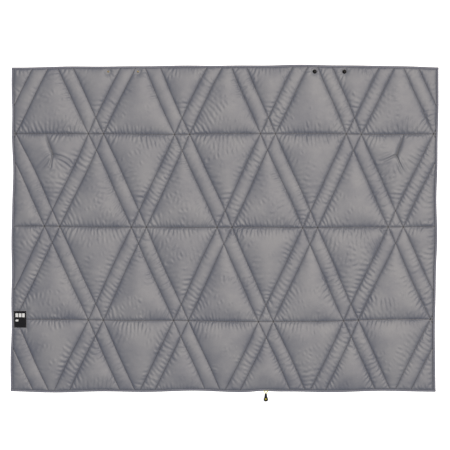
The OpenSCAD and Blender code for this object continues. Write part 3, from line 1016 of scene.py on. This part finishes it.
def snap_stud(node):
    """The stud: a flange with a raised lip, and the round head that clicks into a socket."""
    place = middle(node)
    body = [(0, 4.6), (4.2, 4.6), (4.5, 4.9), (4.4, 5.45), (3.6, 5.75), (2.9, 5.55), (2.35, 5.75), (2.2, 6.5),
            (2.75, 7.0), (2.75, 7.7), (2.3, 8.3), (1.2, 8.4), (0.9, 8.1), (0, 8.1)]
    on_snap(lathe(node + "_head", (place.x, place.y, 0), rounded(body, 0.3), "snap_stud", 64), node)


def snap_post(node):
    """The disc under the stud, with a shallow ring pressed into its face."""
    place = middle(node)
    body = [(0, 2.55), (2.2, 2.5), (2.9, 2.75), (3.6, 2.5), (5.4, 2.5), (6.0, 2.8), (6.0, 3.2), (5.6, 3.5),
            (0, 3.5)]
    on_snap(lathe(node + "_disc", (place.x, place.y, 0), rounded(body, 0.3), "snap_stud", 64), node)


for which in ("inner", "outer"):
    snap_cap("snap_cap_" + which)
    snap_socket("snap_socket_" + which)
    snap_stud("snap_stud_" + which)
    snap_post("snap_post_" + which)

# ---------------------------------------------------------------- label


def label_surface(x, y):
    """Where the label's underside lies: just over the row seam that it covers."""
    return warp(x, y), seam_height(x, y) + 0.5 * MM + 0.2 * MM * np.sin(90 * x + 60 * y)


def label_piece():
    """A woven label sewn flat, with softly rounded edges."""
    low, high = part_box("label")
    across, along = 30, 42
    u, v = np.meshgrid(np.linspace(0, 1, across + 1), np.linspace(0, 1, along + 1))
    x = low[0] + (high[0] - low[0]) * u
    y = low[1] + (high[1] - low[1]) * v
    (wx, wy), z = label_surface(x, y)
    rim_x, rim_y = np.minimum(u, 1 - u) * (high[0] - low[0]), np.minimum(v, 1 - v) * (high[1] - low[1])
    rim = np.minimum(rim_x, rim_y)
    thick = 0.9 * MM * (0.55 + 0.45 * smooth(rim / (1.5 * MM)))
    thick -= 0.22 * MM * np.exp(-((rim - 2.4 * MM) / (0.7 * MM)) ** 2)
    top = np.stack([wx, wy, z + thick], -1).reshape(-1, 3)
    under = np.stack([wx, wy, z], -1).reshape(-1, 3)
    points = np.concatenate([top, under])
    piece = mesh_piece("label_patch", points, slab_faces(along + 1, across + 1), "label_fabric")
    flat = np.stack([x - low[0], y - low[1]], -1).reshape(-1, 2)
    add_sheet_uv(piece, np.concatenate([flat, flat]))
    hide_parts("label")
    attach(piece, LOWER)


def label_stitching():
    """Fine stitches round the label, just inside its edge."""
    low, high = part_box("label")
    inset = 2.4 * MM
    x0, x1, y0, y1 = low[0] + inset, high[0] - inset, low[1] + inset, high[1] - inset
    made = []
    for ends in [(x0, y0, x1, y0), (x1, y0, x1, y1), (x1, y1, x0, y1), (x0, y1, x0, y0)]:
        (wx, wy), z = label_surface(*stepped(ends, 2.8 * MM))
        line = np.stack([wx, wy, z + 0.75 * MM], -1)
        made.append(stitch_mesh(line[:-1], line[1:], 0.15 * MM, 0.25 * MM))
    piece = mesh_piece("label_stitches", *joined(made), "quilting_thread")
    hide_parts("label_stitching")
    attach(piece, LOWER)


label_piece()
label_stitching()

# ---------------------------------------------------------------- tufts


def tuft_piece(node, side):
    """A short bar tack: a few long threads side by side, wrapped by short ones across them."""
    place = middle(node)
    along = Vector((math.cos(side * math.radians(70)), math.sin(side * math.radians(70)), 0))
    across = Vector((-along.y, along.x, 0))
    (wx, wy) = warp(np.array(place.x), np.array(place.y))
    centre = Vector((float(wx), float(wy), float(seam_height(place.x, place.y)) + 0.35 * MM))
    starts, ends = [], []
    for i in (-1, 0, 1):
        starts.append(centre - along * 4.5 * MM + across * i * 0.45 * MM)
        ends.append(centre + along * 4.5 * MM + across * i * 0.45 * MM)
    for i in range(9):
        spot = centre + along * (i - 4) * 0.95 * MM + Vector((0, 0, 0.35 * MM))
        starts.append(spot - across * 1.1 * MM)
        ends.append(spot + across * 1.1 * MM + along * 0.4 * MM)
    piece = mesh_piece(node + "_bar", *stitch_mesh(np.array(starts), np.array(ends), 0.2 * MM, 0.3 * MM),
                       "quilting_thread")
    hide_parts(node)
    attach(piece, UPPER)


tuft_piece("tuft_left", -1)
tuft_piece("tuft_right", 1)

# ---------------------------------------------------------------- hang loop


def directions(path):
    """At each point of a path, its direction and two more at right angles to it, which don't twist."""
    run = np.gradient(path, axis=0)
    run /= np.sqrt((run ** 2).sum(1))[:, None]
    side = np.cross(run, np.eye(3)[np.argmin(abs(run[0]))])
    side[0] /= np.linalg.norm(side[0])
    for i in range(1, len(path)):
        side[i] = side[i - 1] - run[i] * side[i - 1].dot(run[i])
        side[i] /= np.linalg.norm(side[i])
    return run, side, np.cross(run, side)


def tube(path, radius, sides=14):
    """Points and faces of a round tube along a path of points, closed at both ends."""
    path = np.array(path, dtype=float)
    run, side, up = directions(path)
    angles = 2 * math.pi * np.arange(sides) / sides
    ring = side[:, None] * np.cos(angles)[None, :, None] + up[:, None] * np.sin(angles)[None, :, None]
    points = path[:, None] + ring * radius
    first, last = path[:1] - run[:1] * radius * 0.3, path[-1:] + run[-1:] * radius * 0.3
    return np.concatenate([points.reshape(-1, 3), first, last]), spindle_faces(len(path), sides)


MOUTH = Vector(JOINTS["cord_end_swing"]["pos_m"])
HEM = Vector(JOINTS["loop_lift"]["pos_m"])
CORD_R = 1.4 * MM
NECK_L = 15 * MM
END_L = 33 * MM
BELL_R = 9 * MM
END_TILT = math.asin((BELL_R - MOUTH.z) / (NECK_L + 11 * MM))


def braid(path, radius, turns_per_mm=0.32):
    """A braided cord: a round core wrapped by strands that wind both ways over it."""
    path = np.array(path, dtype=float)
    parts = [tube(path, radius * 0.86)]
    run, side, up = directions(path)
    length = np.concatenate([[0], np.cumsum(np.sqrt((np.diff(path, axis=0) ** 2).sum(1)))])
    for turn in (-1, 1):
        for start in range(4):
            angle = turn * 2 * math.pi * turns_per_mm * length / MM + start * math.pi / 2
            over = radius * (0.86 + 0.05 * turn * np.cos(4 * angle))
            wound = path + (side * np.cos(angle)[:, None] + up * np.sin(angle)[:, None]) * over[:, None]
            parts.append(tube(wound, radius * 0.2, 6))
    return joined(parts)


def hang_cord():
    """Two strands that leave the hem side by side and bend together into the cord end."""
    low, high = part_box("hang_cord")
    spread = (high[0] - low[0]) / 2 - CORD_R
    t = np.linspace(0, 1, 40)
    start_y = HEM.y + 5 * MM
    end_y = MOUTH.y + 0.6 * MM
    parts = []
    for side in (-1, 1):
        bend = smooth(t * 1.15 - 0.15)
        x = HEM.x + side * (spread + (CORD_R + 0.05 * MM - spread) * bend)
        y = start_y + (end_y - start_y) * t
        z = HEM.z + (MOUTH.z - HEM.z) * smooth(t)
        parts.append(braid(np.stack([x, y, z], -1), CORD_R))
    piece = mesh_piece("hang_cord_strands", *joined(parts), "cord")
    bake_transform(piece)
    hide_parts("hang_cord")


def along_cord_end(points):
    """From the cord end's own frame, with the mouth at its origin and the length along +Z, to the part's."""
    turn = math.pi / 2 - END_TILT
    y = points[:, 1] * math.cos(turn) - points[:, 2] * math.sin(turn)
    z = points[:, 1] * math.sin(turn) + points[:, 2] * math.cos(turn)
    return np.stack([points[:, 0], y, z], -1) + np.array(MOUTH)[None]


def cut_from(piece, cutter):
    """Cuts a piece by a closed tool, which is then gone."""
    made = piece.modifiers.new("cut", "BOOLEAN")
    made.object = cutter
    made.solver = "EXACT"
    bpy.context.view_layer.update()
    ready = piece.evaluated_get(bpy.context.evaluated_depsgraph_get())
    mesh = bpy.data.meshes.new_from_object(ready)
    piece.modifiers.clear()
    piece.data = mesh
    bpy.data.objects.remove(cutter)


def cord_end():
    """The moulded bell: a waisted neck, a round body, and a window over the knot."""
    length, neck = END_L / MM, NECK_L / MM
    outer = [(0, 0), (4.3, 0), (5.1, 0.6), (4.8, 3.2), (5.0, 7), (5.4, 10), (6.6, neck), (8.5, neck + 4),
             (9.4, neck + 8), (9.4, neck + 11), (8.4, length - 3), (6.3, length - 0.6), (4.2, length),
             (0, length)]
    piece = lathe("cord_end_bell", (0, 0, 0), rounded(outer, 1.2, 4), "cord_end", 64)
    knot = neck + 8.5
    inside = [(0, -1), (3.5, -1), (3.1, 1.5), (3.1, knot - 2), (4.6, knot - 1.5), (4.7, knot + 3.2),
              (3.4, knot + 4.6), (0, knot + 4.6)]
    bore = lathe("bore", (0, 0, 0), rounded(inside, 0.6), "cord_end", 40)
    hole = [(0, 0), (4.5, 0), (4.5, 8.2), (5.4, 9.4), (5.4, 12), (0, 12)]
    window = lathe("window", (0, 0, 0), rounded(hole, 0.5), "cord_end", 48)
    points = np.array([v.co for v in window.data.vertices])
    points = np.stack([points[:, 0], points[:, 2], -points[:, 1] + knot * MM], -1)
    window.data.vertices.foreach_set("co", points.astype(FLOAT).ravel())
    cut_from(piece, bore)
    cut_from(piece, window)
    mesh = piece.data
    points = along_cord_end(np.array([v.co for v in mesh.vertices]))
    mesh.vertices.foreach_set("co", points.astype(FLOAT).ravel())
    mesh.set_sharp_from_angle(angle=math.radians(40))
    mesh.update()
    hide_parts("cord_end")
    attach(piece, "cord_end")


def cord_knot():
    """The joined ends of the cord: they fill the neck, and end in a knot that shows in the window."""
    knot = NECK_L + 8.5 * MM
    t = np.linspace(0, 1, 24)
    parts = []
    for side in (-1, 1):
        x = side * (CORD_R + 0.03 * MM) * (1 - 0.35 * smooth(t * 3 - 2))
        path = np.stack([x, 0 * t, 2.2 * MM + (knot - 3 * MM) * t], -1)
        parts.append(braid(path, CORD_R, 0.2))
    a = np.linspace(0, 2 * math.pi, 140)
    ring = 1.75 + 1.05 * np.cos(3 * a)
    path = np.stack([ring * np.cos(2 * a), 1.25 * np.sin(3 * a), ring * np.sin(2 * a)], -1) * MM
    path[:, 2] += knot
    path[:, 1] += 0.8 * MM
    parts.append(braid(path, CORD_R * 0.95, 0.3))
    points, faces = joined(parts)
    piece = mesh_piece("cord_knot_ends", along_cord_end(points), faces, "cord")
    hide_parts("cord_knot")
    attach(piece, "cord_end")


def bar_tack():
    """A close zigzag of thread across the hem over the ends of the cord."""
    low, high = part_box("loop_bartack")
    count = 22
    t = np.arange(count + 1) / count
    x = low[0] + (high[0] - low[0]) * t
    y = np.where(np.arange(count + 1) % 2 == 0, low[1], high[1] + 0.4 * MM)
    line = np.stack([x, warp(x, y)[1], np.full(count + 1, EDGE_T + 0.55 * MM)], -1)
    piece = mesh_piece("loop_bar_tack", *stitch_mesh(line[:-1], line[1:], 0.15 * MM, 0.3 * MM), "cord")
    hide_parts("loop_bartack")
    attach(piece, LOWER)


hang_cord()
cord_end()
cord_knot()
bar_tack()

# ---------------------------------------------------------------- floor, light and camera


def floor():
    """White paper under the blanket, which gives off some light of its own."""
    size = 12.0
    mesh = bpy.data.meshes.new("floor")
    maker = bmesh.new()
    bmesh.ops.create_grid(maker, x_segments=8, y_segments=8, size=size / 2)
    maker.to_mesh(mesh)
    maker.free()
    made = bpy.data.objects.new("floor", mesh)
    bpy.context.collection.objects.link(made)
    made.location.z = -0.0005
    glow = {"Emission_Color": (1, 1, 1, 1), "Emission_Strength": 0.55}
    s = Shading("floor_paper", (0.95, 0.95, 0.95), Roughness=0.9, **glow)
    mesh.materials.append(s.material)


SKY_COLOR, SKY_STRENGTH = (0.42, 0.66, 1.0, 1), 0.30
SUN_COLOR, SUN_STRENGTH = (1.0, 0.90, 0.80), 3.35
SUN_SPREAD = math.radians(40)
TOWARDS_SUN = (0.24, 0.20, 1.0)


def lights():
    """A broad warm light from the upper right, and a bluish sky all round."""
    world = bpy.data.worlds.new("studio")
    world.use_nodes = True
    world.node_tree.nodes["Background"].inputs["Color"].default_value = SKY_COLOR
    world.node_tree.nodes["Background"].inputs["Strength"].default_value = SKY_STRENGTH
    bpy.context.scene.world = world
    data = bpy.data.lights.new("softbox", "SUN")
    data.energy = SUN_STRENGTH
    data.angle = SUN_SPREAD
    data.color = SUN_COLOR
    made = bpy.data.objects.new("softbox", data)
    bpy.context.collection.objects.link(made)
    made.rotation_euler = Vector(TOWARDS_SUN).to_track_quat("Z", "Y").to_euler()


def camera():
    """Straight above the blanket, from far enough away that the view is almost flat."""
    distance = 5.0
    view_width = 1.907
    data = bpy.data.cameras.new("camera")
    data.sensor_width = 36.0
    data.lens = data.sensor_width * distance / view_width
    made = bpy.data.objects.new("camera", data)
    bpy.context.collection.objects.link(made)
    made.location = (-0.0055, CENTRE_Y + 0.0161, distance + 0.01)
    bpy.context.scene.camera = made


floor()
lights()
camera()
bpy.context.scene.view_settings.view_transform = "Standard"
